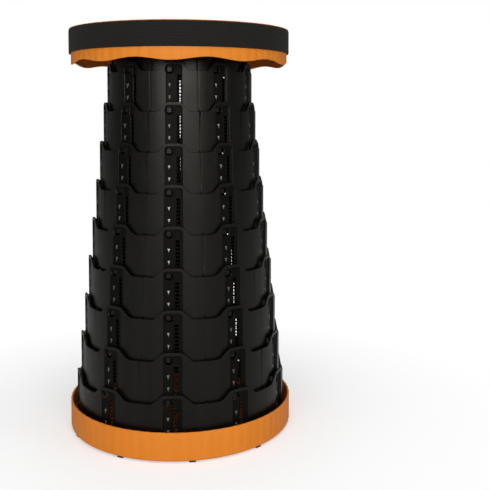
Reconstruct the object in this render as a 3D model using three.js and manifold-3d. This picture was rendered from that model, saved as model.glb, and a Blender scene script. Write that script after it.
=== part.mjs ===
// Collapsible telescopic stool, shown pulled out to its full height.
// Ten nested ring-shaped sections stand between a tray-shaped base and a round seat.
// Millimetres, +Z up. The origin is on the ground, on the axis of the sections.
import * as THREE from 'three';
import { mergeVertices } from 'three/addons/utils/BufferGeometryUtils.js';
import Module from 'manifold-3d';

const wasm = await Module();
wasm.setup();

// Driving dimensions

// The whole stool
const totalHeight = 450;
const seatGap = 0.3;
const cutOverrun = 2;

// Sections, counted from the smallest, which is screwed to the seat
const sectionCount = 10;
const smallestRadius = 77.95;
const radialStep = 4.55;
const sectionWall = 2.2;
const largestSectionFoot = 13;
const sectionOverlap = 11.2;
const crestGap = 0.4;
const panelSteps = 3;

// Columns, the flat strips that carry the guides of every section
const columnCount = 10;
const firstColumnTurn = THREE.MathUtils.degToRad(-4.4);
const columnWidth = 22;
const crestSpan = THREE.MathUtils.degToRad(10.6);
const slopeSpan = THREE.MathUtils.degToRad(5.3);
const valleyDepth = 10.4;

// Guide stud at a section's foot, and the lip and pocket that it meets on the next section
const guideOffset = 3.6;
const runningGap = 0.45;
const studWidth = 5;
const studHeight = 5;
const studDrop = 8.4;
const stopGap = 0.3;
const lipWidth = 7;
const lipThickness = 2.2;
const lipSink = 0.5;
const pocketWidth = 8.6;
const pocketHeight = 8;

// Slot beside the guides
const slotOffset = 5.5;
const slotWidth = 4.6;
const slotTopDrop = 8;
const slotFootRise = 6;

// Flange inside the smallest section, screwed to the seat
const flangeDrop = 8.3;
const flangeThickness = 2.6;
const seatScrewCount = 5;
const seatScrewInset = 6.75;
const flangeBoreInset = 5;

// Seat
const lidPlate = 2.6;
const lidRimInset = 0.4;
const lidRimThickness = 0.7;
const nestGap = 1.3;
const skirtWall = 2.4;
const skirtDepth = 38.4;
const skirtWave = 1.8;
const skirtSteps = 60;
const lidRibDepth = 8;
const lidRibWidth = 2;
const bossRadius = 4.2;

// Cap in the middle of the seat, with its two finger holes
const capInset = 4;
const capPlate = 2.6;
const capWall = 2.2;
const capDepth = 8.3;
const capSteps = 48;
const capScrewCount = 4;
const capScrewInset = 5;
const capBossRadius = 3.8;
const ledgeThickness = 2.4;
const ledgeWidth = 10;
const collarWall = 2.2;
const fingerHoleCount = 2;
const fingerHoleRadius = 11.5;
const fingerHoleInset = 10.3;
const fingerHoleTurn = THREE.MathUtils.degToRad(11);
const fingerSleeveWall = 2;
const fingerSleeveDepth = 24;
const holeSteps = 16;

// Screws
const screwHeadRadius = 3.2;
const screwHeadHeight = 2.2;
const screwShankRadius = 1.5;
const seatScrewLength = 9;
const capScrewLength = 7.5;
const screwSteps = 8;

// Webbing
const bandWidth = 25.7;
const bandThickness = 2;
const webbingThickness = 1.6;
const bandSteps = 60;
const strapTurn = THREE.MathUtils.degToRad(-12);
const overlapLength = 61;
const overlapTurn = THREE.MathUtils.degToRad(86);
const tabTurn = THREE.MathUtils.degToRad(-45);
const tabFootLength = 12;
const tabFreeLength = 14;
const tabLift = 7;
const handleReach = 74;
const handleSpread = THREE.MathUtils.degToRad(16);
const handleFootLength = 12;
const handleRootBend = 6;
const handleTopBend = 26;
const handleCrownShare = 4 / 3;
const hugSteps = 2;
const rootSteps = 4;
const bendSteps = 8;
const crownSteps = 16;

// Base
const baseWall = 2.5;
const baseRimHeight = 31.5;
const baseFloor = 2.6;
const fluteCount = 70;
const fluteDepth = 0.5;
const hookRoom = 2.1;
const hookWidth = 7;
const hookWall = 3;
const hookShelf = 1.6;

// Anti-slip pad under the base
const padThickness = 1.2;
const padInset = 18.5;
const padLugWidth = 7;
const padLugInset = 1.5;
const padLugTurn = THREE.MathUtils.degToRad(9.6);
const padRecess = 1;
const padSteps = 60;

// Heights and places that follow from the sizes above
const plateFoot = totalHeight - lidPlate;
const floorTop = padThickness + baseFloor;
const skirtFoot = totalHeight - skirtDepth;
const slidingHeight = skirtFoot - crestGap - largestSectionFoot - sectionOverlap;
const sectionPitch = slidingHeight / (sectionCount - 1);
const sectionHeight = sectionPitch + sectionOverlap;
const guideReach = radialStep - sectionWall - runningGap;
const studRise = sectionOverlap - studDrop;
const lipDrop = studDrop - studHeight / 2 - stopGap;
const pocketDrop = lipDrop + stopGap / 2;
const largestRadius = smallestRadius + (sectionCount - 1) * radialStep;
const baseRadius = largestRadius + hookRoom + hookWall + baseWall;
const skirtRadius = baseRadius - baseWall - nestGap;
const bandTop = totalHeight - lidRimThickness - seatGap;
const bandFoot = bandTop - bandWidth;
const bandInner = skirtRadius + seatGap;
const bandOuter = bandInner + bandThickness;
const lidRimRadius = bandOuter - lidRimInset;
const columnPitch = 2 * Math.PI / columnCount;
const seatScrewCircle = smallestRadius - sectionWall - seatScrewInset;
const flangeBore = seatScrewCircle - flangeBoreInset;
const capRadius = flangeBore - capInset;
const capScrewCircle = capRadius - capScrewInset;
const ledgeTop = totalHeight - capDepth - seatGap;
const ledgeFoot = ledgeTop - ledgeThickness;
const collarInner = capRadius + seatGap;
const ledgeBore = collarInner - ledgeWidth;
const fingerHoleCircle = ledgeBore - fingerHoleInset - fingerSleeveWall - fingerHoleRadius;
const flangeTop = plateFoot - seatGap - flangeDrop;
const padRadius = baseRadius - padInset;
const padLugReach = baseRadius - padLugInset;

const colours = {
  sections: new THREE.MeshStandardMaterial({ color: 0x232321, roughness: 0.5, metalness: 0 }),
  shell: new THREE.MeshStandardMaterial({ color: 0xe08230, roughness: 0.55, metalness: 0 }),
  webbing: new THREE.MeshStandardMaterial({ color: 0x1c1c1b, roughness: 0.9, metalness: 0 }),
  rubber: new THREE.MeshStandardMaterial({ color: 0x161616, roughness: 0.85, metalness: 0 }),
  steel: new THREE.MeshStandardMaterial({ color: 0x9a9c9e, roughness: 0.35, metalness: 1 }),
};

// Helpers that turn three.js geometry into solids and back

function solidOf(geometry) {
  const bare = geometry.clone();
  bare.deleteAttribute('normal');
  bare.deleteAttribute('uv');
  const merged = mergeVertices(bare.index ? bare.toNonIndexed() : bare);
  return new wasm.Manifold(new wasm.Mesh({
    numProp: 3,
    vertProperties: new Float32Array(merged.attributes.position.array),
    triVerts: new Uint32Array(merged.index.array),
  }));
}

function geometryOf(solid) {
  const mesh = solid.getMesh();
  const geometry = new THREE.BufferGeometry();
  geometry.setAttribute('position', new THREE.BufferAttribute(mesh.vertProperties, 3));
  geometry.setIndex(new THREE.BufferAttribute(mesh.triVerts, 1));
  return geometry;
}

function joined(solids) {
  return solids.reduce((whole, piece) => whole.add(piece));
}

function upright(shape, foot, height) {
  const geometry = new THREE.ExtrudeGeometry(shape, { depth: height, bevelEnabled: false });
  return geometry.translate(0, 0, foot);
}

function polar(radius, angle) {
  return new THREE.Vector2(radius * Math.cos(angle), radius * Math.sin(angle));
}

function circlePoints(radius, steps) {
  const points = [];
  for (let i = 0; i < steps; i += 1) {
    points.push(polar(radius, i * 2 * Math.PI / steps));
  }
  return points;
}

function disc(radius, foot, height, steps) {
  return solidOf(upright(new THREE.Shape(circlePoints(radius, steps)), foot, height));
}

function ring(outer, inner, foot, height, steps) {
  const shape = new THREE.Shape(circlePoints(outer, steps));
  shape.holes.push(new THREE.Path(circlePoints(inner, steps)));
  return solidOf(upright(shape, foot, height));
}

function post(radius, x, y, foot, height, steps) {
  return solidOf(upright(new THREE.Shape(circlePoints(radius, steps)), foot, height).translate(x, y, 0));
}

// A block given by its limits across (x), outward (y) and up (z), turned about the axis.
function block([x0, x1], [y0, y1], [z0, z1], turn) {
  const geometry = new THREE.BoxGeometry(x1 - x0, y1 - y0, z1 - z0);
  geometry.translate((x0 + x1) / 2, (y0 + y1) / 2, (z0 + z1) / 2);
  return solidOf(geometry.rotateZ(turn));
}

// A flat outline in x and z, carried outward from y0 to y1 and turned about the axis.
function outward(points, y0, y1, turn) {
  const options = { depth: y1 - y0, bevelEnabled: false };
  const geometry = new THREE.ExtrudeGeometry(new THREE.Shape(points), options);
  geometry.rotateX(Math.PI / 2).translate(0, y1, 0);
  return solidOf(geometry.rotateZ(turn));
}

function columnTurns() {
  return Array.from({ length: columnCount }, (_, i) => firstColumnTurn + i * columnPitch);
}

function atColumns(make) {
  return joined(columnTurns().map(make));
}

// Distance from the axis to the flat faces of a column
function columnOuter(radius) {
  return Math.sqrt(radius ** 2 - (columnWidth / 2) ** 2);
}

function columnInner(radius) {
  return columnOuter(radius - sectionWall);
}

// Sections

function sectionRadius(index) {
  return smallestRadius + index * radialStep;
}

function sectionTop(index) {
  return largestSectionFoot + sectionHeight + (sectionCount - 1 - index) * sectionPitch;
}

// One turn round a section: an arc over each panel, and straight across each column.
function sectionOutline(radius) {
  const points = [];
  const halfStrip = Math.asin(columnWidth / 2 / radius);
  for (const turn of columnTurns()) {
    const start = Math.PI / 2 + turn + halfStrip;
    for (let i = 0; i <= panelSteps; i += 1) {
      points.push(polar(radius, start + (columnPitch - 2 * halfStrip) * i / panelSteps));
    }
  }
  return points;
}

function sectionWallSolid(radius, foot, height) {
  const shape = new THREE.Shape(sectionOutline(radius));
  shape.holes.push(new THREE.Path(sectionOutline(radius - sectionWall)));
  return solidOf(upright(shape, foot, height));
}

// The low stretch of the top edge between two crests
function valley(radius, top, turn) {
  const half = columnPitch / 2;
  const crestEdge = radius * Math.sin(half - crestSpan / 2);
  const valleyEdge = radius * Math.sin(half - crestSpan / 2 - slopeSpan);
  const rise = (crestEdge - valleyEdge) * cutOverrun / valleyDepth;
  const points = [
    new THREE.Vector2(-valleyEdge, top - valleyDepth),
    new THREE.Vector2(valleyEdge, top - valleyDepth),
    new THREE.Vector2(crestEdge + rise, top + cutOverrun),
    new THREE.Vector2(-crestEdge - rise, top + cutOverrun),
  ];
  const inside = (radius - sectionWall) * Math.cos(half) - cutOverrun;
  return outward(points, inside, radius + cutOverrun, turn + half);
}

function pocket(radius, top, turn) {
  const across = [guideOffset - pocketWidth / 2, guideOffset + pocketWidth / 2];
  const through = [columnInner(radius) - cutOverrun, radius + cutOverrun];
  return block(across, through, [top - pocketDrop - pocketHeight, top - pocketDrop], turn);
}

function slot(radius, foot, top, turn) {
  const across = [-slotOffset - slotWidth / 2, -slotOffset + slotWidth / 2];
  const through = [columnInner(radius) - cutOverrun, radius + cutOverrun];
  return block(across, through, [foot + slotFootRise, top - slotTopDrop], turn);
}

function stud(radius, foot, turn) {
  const across = [guideOffset - studWidth / 2, guideOffset + studWidth / 2];
  const reach = [columnOuter(radius) - lipSink, columnOuter(radius) + guideReach];
  const centre = foot + studRise;
  return block(across, reach, [centre - studHeight / 2, centre + studHeight / 2], turn);
}

function lip(radius, top, turn) {
  const across = [guideOffset - lipWidth / 2, guideOffset + lipWidth / 2];
  const reach = [columnInner(radius) - guideReach, columnInner(radius) + lipSink];
  return block(across, reach, [top - lipDrop, top - lipDrop + lipThickness], turn);
}

function slidingSection(index) {
  const radius = sectionRadius(index);
  const top = sectionTop(index);
  const foot = top - sectionHeight;
  return sectionWallSolid(radius, foot, sectionHeight)
    .subtract(atColumns((turn) => valley(radius, top, turn)))
    .subtract(atColumns((turn) => pocket(radius, top, turn)))
    .subtract(atColumns((turn) => slot(radius, foot, top, turn)))
    .add(atColumns((turn) => lip(radius, top, turn)))
    .add(atColumns((turn) => stud(radius, foot, turn)));
}

function spread(count, circle, start) {
  return Array.from({ length: count }, (_, i) => polar(circle, start + i * 2 * Math.PI / count));
}

// Holes for the shanks of a set of screws, from the height given upward
function shankHoles(places, foot, depth) {
  const radius = screwShankRadius + seatGap;
  return joined(places.map(({ x, y }) => post(radius, x, y, foot, depth, screwSteps)));
}

function seatScrewPlaces() {
  return spread(seatScrewCount, seatScrewCircle, firstColumnTurn);
}

function capScrewPlaces() {
  return spread(capScrewCount, capScrewCircle, Math.PI / capScrewCount + strapTurn + fingerHoleTurn);
}

// The smallest section ends in an inner flange under the seat instead of crests.
function seatSection() {
  const radius = sectionRadius(0);
  const top = plateFoot - seatGap;
  const foot = sectionTop(1) - sectionOverlap;
  const flangeFoot = flangeTop - flangeThickness;
  const throughFlange = flangeThickness + 2 * cutOverrun;
  const screwHoles = shankHoles(seatScrewPlaces(), flangeFoot - cutOverrun, throughFlange);
  const flange = ring(radius - sectionWall / 2, flangeBore, flangeFoot, flangeThickness, capSteps);
  return sectionWallSolid(radius, foot, top - foot)
    .subtract(atColumns((turn) => slot(radius, foot, flangeFoot, turn)))
    .add(flange)
    .subtract(screwHoles)
    .add(atColumns((turn) => stud(radius, foot, turn)));
}

// Seat

// The skirt hangs lowest at the columns and rises between them.
function skirt() {
  const inner = skirtRadius - skirtWall;
  const outline = [
    new THREE.Vector2(inner, skirtFoot),
    new THREE.Vector2(skirtRadius, skirtFoot),
    new THREE.Vector2(skirtRadius, totalHeight - lidRimThickness),
    new THREE.Vector2(inner, totalHeight - lidRimThickness),
    new THREE.Vector2(inner, skirtFoot),
  ];
  const geometry = new THREE.LatheGeometry(outline, skirtSteps).rotateX(Math.PI / 2);
  geometry.rotateZ(firstColumnTurn);
  const position = geometry.attributes.position;
  for (let i = 0; i < position.count; i += 1) {
    if (position.getZ(i) < bandFoot) {
      const angle = Math.atan2(position.getY(i), position.getX(i)) - Math.PI / 2 - firstColumnTurn;
      position.setZ(i, skirtFoot - skirtWave * Math.cos(columnCount * angle));
    }
  }
  return solidOf(geometry);
}

function lidRib(turn) {
  const inner = sectionRadius(0) + seatGap;
  const outer = skirtRadius - skirtWall / 2;
  const across = [-lidRibWidth / 2, lidRibWidth / 2];
  const depth = [plateFoot - lidRibDepth, plateFoot + lidPlate / 2];
  return block(across, [inner, outer], depth, turn + columnPitch / 2);
}

function seatLid() {
  const rimFoot = totalHeight - lidRimThickness;
  const underLedge = ledgeFoot - cutOverrun;
  const throughLedge = ledgeThickness + 2 * cutOverrun;
  const rim = disc(lidRimRadius, rimFoot, lidRimThickness, skirtSteps);
  const plate = disc(skirtRadius - skirtWall / 2, plateFoot, lidPlate - lidRimThickness / 2, skirtSteps);
  const collar = disc(collarInner + collarWall, ledgeFoot, rimFoot - ledgeFoot, capSteps);
  const capSeat = disc(collarInner, ledgeTop, totalHeight - ledgeTop + cutOverrun, capSteps);
  const opening = disc(ledgeBore, underLedge, throughLedge, capSteps);
  const bossFoot = flangeTop + seatGap;
  const bossHeight = plateFoot + lidPlate / 2 - bossFoot;
  const bosses = seatScrewPlaces().map(({ x, y }) => (
    post(bossRadius, x, y, bossFoot, bossHeight, screwSteps)
  ));
  const pilotDepth = seatScrewLength - flangeThickness - seatGap;
  return joined([rim, plate, skirt(), collar, ...bosses, atColumns(lidRib)])
    .subtract(capSeat)
    .subtract(opening)
    .subtract(shankHoles(seatScrewPlaces(), bossFoot - cutOverrun, pilotDepth + cutOverrun))
    .subtract(shankHoles(capScrewPlaces(), underLedge, throughLedge));
}

function fingerHolePlaces() {
  return spread(fingerHoleCount, fingerHoleCircle, Math.PI / 2 + strapTurn + fingerHoleTurn);
}

function seatCap() {
  const foot = totalHeight - capDepth;
  const underPlate = capDepth - capPlate;
  const shell = disc(capRadius, foot, capDepth, capSteps)
    .subtract(disc(capRadius - capWall, foot - cutOverrun, underPlate + cutOverrun, capSteps));
  const bosses = capScrewPlaces().map(({ x, y }) => (
    post(capBossRadius, x, y, foot, underPlate + capPlate / 2, screwSteps)
  ));
  const pilotDepth = capScrewLength - ledgeThickness - seatGap;
  const pilots = shankHoles(capScrewPlaces(), foot - cutOverrun, pilotDepth + cutOverrun);
  const sleeveFoot = totalHeight - fingerSleeveDepth;
  const sleeves = fingerHolePlaces().map(({ x, y }) => (
    post(fingerHoleRadius + fingerSleeveWall, x, y, sleeveFoot, fingerSleeveDepth - capPlate / 2, holeSteps)
  ));
  const holes = fingerHolePlaces().map(({ x, y }) => (
    post(fingerHoleRadius, x, y, sleeveFoot - cutOverrun, fingerSleeveDepth + 2 * cutOverrun, holeSteps)
  ));
  return joined([shell, ...bosses, ...sleeves]).subtract(pilots).subtract(joined(holes));
}

// Pan-head screw driven upward, with the top of its head at the height given
function screw(length, headTop) {
  const outline = [
    new THREE.Vector2(0, headTop - screwHeadHeight),
    new THREE.Vector2(screwHeadRadius, headTop - screwHeadHeight),
    new THREE.Vector2(screwHeadRadius, headTop),
    new THREE.Vector2(screwShankRadius, headTop),
    new THREE.Vector2(screwShankRadius, headTop + length),
    new THREE.Vector2(0, headTop + length),
  ];
  return new THREE.LatheGeometry(outline, screwSteps).rotateX(Math.PI / 2);
}

// Webbing

// A strip of webbing seen from above: its middle line, half its thickness to each side.
function stripOutline(line, thickness) {
  const left = [];
  const right = [];
  line.forEach((point, i) => {
    const before = line[Math.max(i - 1, 0)];
    const after = line[Math.min(i + 1, line.length - 1)];
    const across = after.clone().sub(before).normalize().rotateAround(new THREE.Vector2(), Math.PI / 2);
    left.push(point.clone().addScaledVector(across, thickness / 2));
    right.push(point.clone().addScaledVector(across, -thickness / 2));
  });
  return [...left, ...right.reverse()];
}

function strip(line, thickness) {
  return upright(new THREE.Shape(stripOutline(line, thickness)), bandFoot, bandWidth);
}

function hugArc(radius, from, to, steps) {
  return Array.from({ length: steps + 1 }, (_, i) => polar(radius, from + (to - from) * i / steps));
}

function strapOverlap() {
  const radius = bandOuter + seatGap + webbingThickness / 2;
  const half = overlapLength / 2 / radius;
  const centre = Math.PI / 2 + strapTurn + overlapTurn;
  return strip(hugArc(radius, centre - half, centre + half, bendSteps), webbingThickness);
}

// The loose end leaves the band on a gentle curve.
function strapEndTab() {
  const radius = bandOuter + seatGap + webbingThickness / 2;
  const root = Math.PI / 2 + strapTurn + tabTurn;
  const footEnd = root - tabFootLength / radius;
  const foot = hugArc(radius, root, footEnd, hugSteps);
  const free = [];
  for (let i = 1; i <= bendSteps; i += 1) {
    const share = i / bendSteps;
    free.push(polar(radius + tabLift * share ** 2, footEnd - share * tabFreeLength / radius));
  }
  return strip([...foot, ...free], webbingThickness);
}

// One leg of the handle: a foot that hugs the band, a bend, and the place where the crown starts
function handleLeg(turn, sense) {
  const radius = bandOuter + seatGap + webbingThickness / 2;
  const root = Math.PI / 2 + strapTurn + turn;
  const along = polar(1, Math.PI / 2 + strapTurn + turn / 2);
  const bendStart = root + sense * handleRootBend / radius;
  const corner = polar(radius, root);
  const bendEnd = corner.clone().addScaledVector(along, handleRootBend);
  const bend = new THREE.QuadraticBezierCurve(polar(radius, bendStart), corner, bendEnd);
  const foot = hugArc(radius, root + sense * handleFootLength / radius, bendStart, hugSteps);
  const crown = corner.clone().addScaledVector(along, handleReach - handleTopBend);
  const crownPull = crown.clone().addScaledVector(along, handleTopBend * handleCrownShare);
  return { points: [...foot.slice(0, -1), ...bend.getPoints(rootSteps)], crown, crownPull };
}

function carryHandle() {
  const left = handleLeg(handleSpread, 1);
  const right = handleLeg(-handleSpread, -1);
  const crown = new THREE.CubicBezierCurve(left.crown, left.crownPull, right.crownPull, right.crown);
  const line = [...left.points, ...crown.getPoints(crownSteps), ...right.points.reverse()];
  return strip(line, webbingThickness);
}

// Base

function flutedPoints(radius, depth) {
  const points = [];
  for (let i = 0; i < 2 * fluteCount; i += 1) {
    points.push(polar(i % 2 ? radius : radius - depth, i * Math.PI / fluteCount));
  }
  return points;
}

// Hooks inside the rim hold the largest section by its studs.
function baseHook(turn) {
  const across = [guideOffset - hookWidth / 2, guideOffset + hookWidth / 2];
  const sectionFace = columnOuter(sectionRadius(sectionCount - 1));
  const studTop = sectionTop(sectionCount - 1) - sectionHeight + studRise + studHeight / 2;
  const shelfFoot = studTop + stopGap;
  const inRim = baseRadius - baseWall / 2;
  const wallFace = baseRadius - baseWall - hookWall;
  const inFloor = floorTop - baseFloor / 2;
  const wall = block(across, [wallFace, inRim], [inFloor, shelfFoot + hookShelf / 2], turn);
  const shelfFace = sectionFace + runningGap;
  const shelf = block(across, [shelfFace, inRim], [shelfFoot, shelfFoot + hookShelf], turn);
  return wall.add(shelf);
}

function baseShell() {
  const rimShape = new THREE.Shape(flutedPoints(baseRadius, fluteDepth));
  rimShape.holes.push(new THREE.Path(circlePoints(baseRadius - baseWall, fluteCount)));
  const rim = solidOf(upright(rimShape, padThickness, baseRimHeight - padThickness));
  const floor = disc(baseRadius - baseWall / 2, padThickness, baseFloor, fluteCount);
  const recess = padOutline(seatGap, padThickness - cutOverrun, cutOverrun + padRecess);
  return rim.add(floor).add(atColumns(baseHook)).subtract(recess);
}

// The pad is a disc with a lug at every column, kept in a shallow recess of its own outline.
function padOutline(clearance, foot, height) {
  const lug = (turn) => block(
    [-padLugWidth / 2 - clearance, padLugWidth / 2 + clearance],
    [padRadius / 2, padLugReach + clearance],
    [foot, foot + height],
    turn + padLugTurn,
  );
  return disc(padRadius + clearance, foot, height, padSteps).add(atColumns(lug));
}

function antiSlipPad() {
  return padOutline(0, 0, padThickness + padRecess - seatGap);
}

// The stool

const stool = new THREE.Group();

function place(name, geometry, material, x = 0, y = 0) {
  const mesh = new THREE.Mesh(geometry, material);
  mesh.name = name;
  mesh.position.set(x, y, 0);
  stool.add(mesh);
}

function numbered(name, index) {
  return `${name}_${String(index + 1).padStart(2, '0')}`;
}

place('base_shell', geometryOf(baseShell()), colours.shell);
place('anti_slip_pad', geometryOf(antiSlipPad()), colours.rubber);
for (let i = sectionCount - 1; i > 0; i -= 1) {
  place(numbered('telescopic_section', i), geometryOf(slidingSection(i)), colours.sections);
}
place(numbered('telescopic_section', 0), geometryOf(seatSection()), colours.sections);
place('seat_lid', geometryOf(seatLid()), colours.shell);
place('seat_center_cap', geometryOf(seatCap()), colours.shell);
const seatScrewHead = flangeTop - flangeThickness - seatGap;
seatScrewPlaces().forEach(({ x, y }, i) => {
  place(numbered('seat_screw', i), screw(seatScrewLength, seatScrewHead), colours.steel, x, y);
});
capScrewPlaces().forEach(({ x, y }, i) => {
  place(numbered('cap_screw', i), screw(capScrewLength, ledgeFoot - seatGap), colours.steel, x, y);
});
const band = ring(bandOuter, bandInner, bandFoot, bandWidth, bandSteps);
place('strap_band', geometryOf(band), colours.webbing);
place('strap_overlap', strapOverlap(), colours.webbing);
place('strap_end_tab', strapEndTab(), colours.webbing);
place('carry_handle', carryHandle(), colours.webbing);

export default stool;
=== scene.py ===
from math import asin, copysign, cos, pi, radians, sin, sqrt, tan

import bmesh
import bpy
from mathutils import Matrix, Vector
from mathutils.geometry import delaunay_2d_cdt


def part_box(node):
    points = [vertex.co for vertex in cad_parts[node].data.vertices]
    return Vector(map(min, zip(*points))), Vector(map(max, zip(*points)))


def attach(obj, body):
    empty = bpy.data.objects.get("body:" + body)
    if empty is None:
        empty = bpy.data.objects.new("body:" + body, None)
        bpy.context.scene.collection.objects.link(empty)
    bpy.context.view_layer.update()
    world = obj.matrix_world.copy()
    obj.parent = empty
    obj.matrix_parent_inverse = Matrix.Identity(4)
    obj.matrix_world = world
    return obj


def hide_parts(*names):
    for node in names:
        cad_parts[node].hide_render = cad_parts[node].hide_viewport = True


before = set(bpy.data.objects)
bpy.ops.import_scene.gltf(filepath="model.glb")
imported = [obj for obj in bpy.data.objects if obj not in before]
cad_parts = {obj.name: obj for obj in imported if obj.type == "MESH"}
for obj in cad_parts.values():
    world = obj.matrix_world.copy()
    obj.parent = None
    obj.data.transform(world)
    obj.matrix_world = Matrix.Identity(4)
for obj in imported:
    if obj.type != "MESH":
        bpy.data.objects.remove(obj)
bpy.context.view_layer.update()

# Sizes are in millimetres. A mesh becomes metres when it is finished.
MILLIMETRE = 0.001

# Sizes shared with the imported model
TOTAL_HEIGHT = 450
SMALLEST_RADIUS = 77.95
RADIAL_STEP = 4.55
SECTION_COUNT = 10
SECTION_WALL = 2.2
SECTION_OVERLAP = 11.2
COLUMN_COUNT = 10
COLUMN_PITCH = 2 * pi / COLUMN_COUNT
FIRST_COLUMN_TURN = radians(-4.4)
COLUMN_HALF_WIDTH = 11
CREST_SPAN = radians(10.6)
SLOPE_SPAN = radians(5.3)
FLANGE_TOP = 438.8
FLANGE_THICKNESS = 2.6
FLANGE_BORE = 64
PLATE_FOOT = 447.4
BAND_WIDTH = 25.7
BAND_FOOT = 423.3
BAND_INNER = 123
BAND_OUTER = 125
WEBBING_THICKNESS = 1.6
WEBBING_GAP = 0.3
STRAP_TURN = radians(-12)
STRAP_BACK = STRAP_TURN + pi / 2
BASE_RADIUS = 126.5
BASE_WALL = 2.5
BASE_RIM_HEIGHT = 31.5

# Edges and curves
EDGE_WIDTH = 0.3
EDGE_SEGMENTS = 2
EDGE_ANGLE = radians(38)
SMOOTH_ANGLE = radians(32)
FLAT_ANGLE = radians(0.6)
CORNER_STEPS = 5
# How far in and how far up the middle of a small rounded edge lies, as a share of its radius
ROUNDING_MIDDLE = 0.3
FLUTE_COUNT = 70
FLUTE_SHARPNESS = 1.1
# How far a detail is sunk into the wall that carries it
SINK = 0.5
SAME_PLACE = 0.002


# Small helpers

def polar(radius, angle):
    return Vector((radius * cos(angle), radius * sin(angle)))


def mixed(a, b, share):
    return a + (b - a) * share


def quarter(centre, radius, start):
    """Points on a quarter of a circle, both ends included."""
    angles = [mixed(start, start + pi / 2, i / CORNER_STEPS) for i in range(CORNER_STEPS + 1)]
    return [tuple(Vector(centre) + polar(radius, angle)) for angle in angles]


def circle(radius, count, centre=(0, 0), start=0):
    """Places spread evenly on a circle."""
    return [Vector(centre) + polar(radius, start + 2 * pi * k / count) for k in range(count)]


def rounded(corners):
    """A closed outline from corners (x, y, radius), with each corner rounded by a curve."""
    points = []
    for i, (x, y, radius) in enumerate(corners):
        here = Vector((x, y))
        if radius == 0:
            points.append(here)
            continue
        before = Vector(corners[i - 1][:2])
        after = Vector(corners[(i + 1) % len(corners)][:2])
        start = here + (before - here).normalized() * min(radius, (before - here).length / 2)
        end = here + (after - here).normalized() * min(radius, (after - here).length / 2)
        for k in range(CORNER_STEPS + 1):
            share = k / CORNER_STEPS
            points.append(mixed(mixed(start, here, share), mixed(here, end, share), share))
    return points


def rectangle(middle, half, low, high, radius=0):
    left, right = middle - half, middle + half
    corners = ((left, low), (right, low), (right, high), (left, high))
    return rounded([(*corner, radius) for corner in corners])


def arched(left, right, low, high, left_radius, right_radius):
    """A rectangle with only its upper corners rounded."""
    return rounded([
        (left, low, 0),
        (right, low, 0),
        (right, high, right_radius),
        (left, high, left_radius),
    ])


def inside(point, loop):
    """True if a flat point lies in a closed outline."""
    x, y = point
    result = False
    previous = loop[-1]
    for corner in loop:
        if (corner[1] > y) != (previous[1] > y):
            share = (y - corner[1]) / (previous[1] - corner[1])
            if x < mixed(corner[0], previous[0], share):
                result = not result
        previous = corner
    return result


def turned_by(turn):
    """A function that turns a point round the axis."""
    def place(x, y, z):
        across = x * cos(turn) - y * sin(turn)
        along = x * sin(turn) + y * cos(turn)
        return (across, along, z)

    return place


def fluted(angle, depth):
    """How far a fluted face lies inside its full radius at an angle."""
    return depth * (1 - abs(cos(FLUTE_COUNT * angle / 2))) ** FLUTE_SHARPNESS


# Meshes

def new_object(name, mesh, *materials):
    obj = bpy.data.objects.new(name, mesh)
    bpy.context.collection.objects.link(obj)
    for material in materials:
        mesh.materials.append(material)
    return obj


def round_edges(obj, width):
    bevel = obj.modifiers.new("rounded edges", "BEVEL")
    bevel.width = width * MILLIMETRE
    bevel.segments = EDGE_SEGMENTS
    bevel.limit_method = "ANGLE"
    bevel.angle_limit = EDGE_ANGLE
    bevel.use_clamp_overlap = False
    bevel.loop_slide = False
    shading = obj.modifiers.new("even shading", "WEIGHTED_NORMAL")
    shading.keep_sharp = True


def finished(shape, name, *materials, edge=0, smooth=SMOOTH_ANGLE):
    """Turns a bmesh in millimetres into an object. Its sharp edges are rounded if edge is given."""
    bmesh.ops.recalc_face_normals(shape, faces=shape.faces)
    shape.transform(Matrix.Scale(MILLIMETRE, 4))
    mesh = bpy.data.meshes.new(name)
    shape.to_mesh(mesh)
    shape.free()
    mesh.polygons.foreach_set("use_smooth", [True] * len(mesh.polygons))
    mesh.set_sharp_from_angle(angle=smooth)
    obj = new_object(name, mesh, *materials)
    if edge:
        round_edges(obj, edge)
    return obj


def stand_in(obj, node):
    """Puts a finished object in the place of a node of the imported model."""
    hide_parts(node)
    return obj


def moulding(shape, node, slot, *materials, edge=0):
    return stand_in(finished(shape, f"{node}_moulding", *materials, edge=edge), node)


def add_faces(shape, points, faces):
    """Adds points and faces to a bmesh and returns the new corners."""
    corners = [shape.verts.new(p) for p in points]
    for face in faces:
        shape.faces.new([corners[i] for i in face])
    return corners


def merge_corners(shape):
    bmesh.ops.remove_doubles(shape, verts=shape.verts, dist=SAME_PLACE)


def join_shapes(shape, details):
    """Adds the bmesh of the details to another one and frees it."""
    mesh = bpy.data.meshes.new("details")
    details.to_mesh(mesh)
    details.free()
    shape.from_mesh(mesh)
    bpy.data.meshes.remove(mesh)


def turned(shape, profile, steps, form=None):
    """Carries a closed profile of (radius, height) once round the axis. form(radius, height, angle)
    gives the radius and height at that angle."""
    form = form or (lambda radius, height, angle: (radius, height))
    points = []
    for k in range(steps):
        angle = 2 * pi * k / steps
        for radius, height in profile:
            r, z = form(radius, height, angle)
            points.append((r * cos(angle), r * sin(angle), z))
    count = len(profile)
    faces = []
    for k in range(steps):
        here, there = k * count, (k + 1) % steps * count
        for i in range(count):
            j = (i + 1) % count
            faces.append((here + i, here + j, there + j, there + i))
    return add_faces(shape, points, faces)


def extruded(shape, outline, foot, top, place):
    """A straight prism over a flat outline. place turns a point (x, y, z) into its final place."""
    count = len(outline)
    points = [place(p[0], p[1], level) for level in (foot, top) for p in outline]
    faces = [tuple(reversed(range(count))), tuple(range(count, 2 * count))]
    for i in range(count):
        j = (i + 1) % count
        faces.append((i, j, count + j, count + i))
    return add_faces(shape, points, faces)


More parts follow.
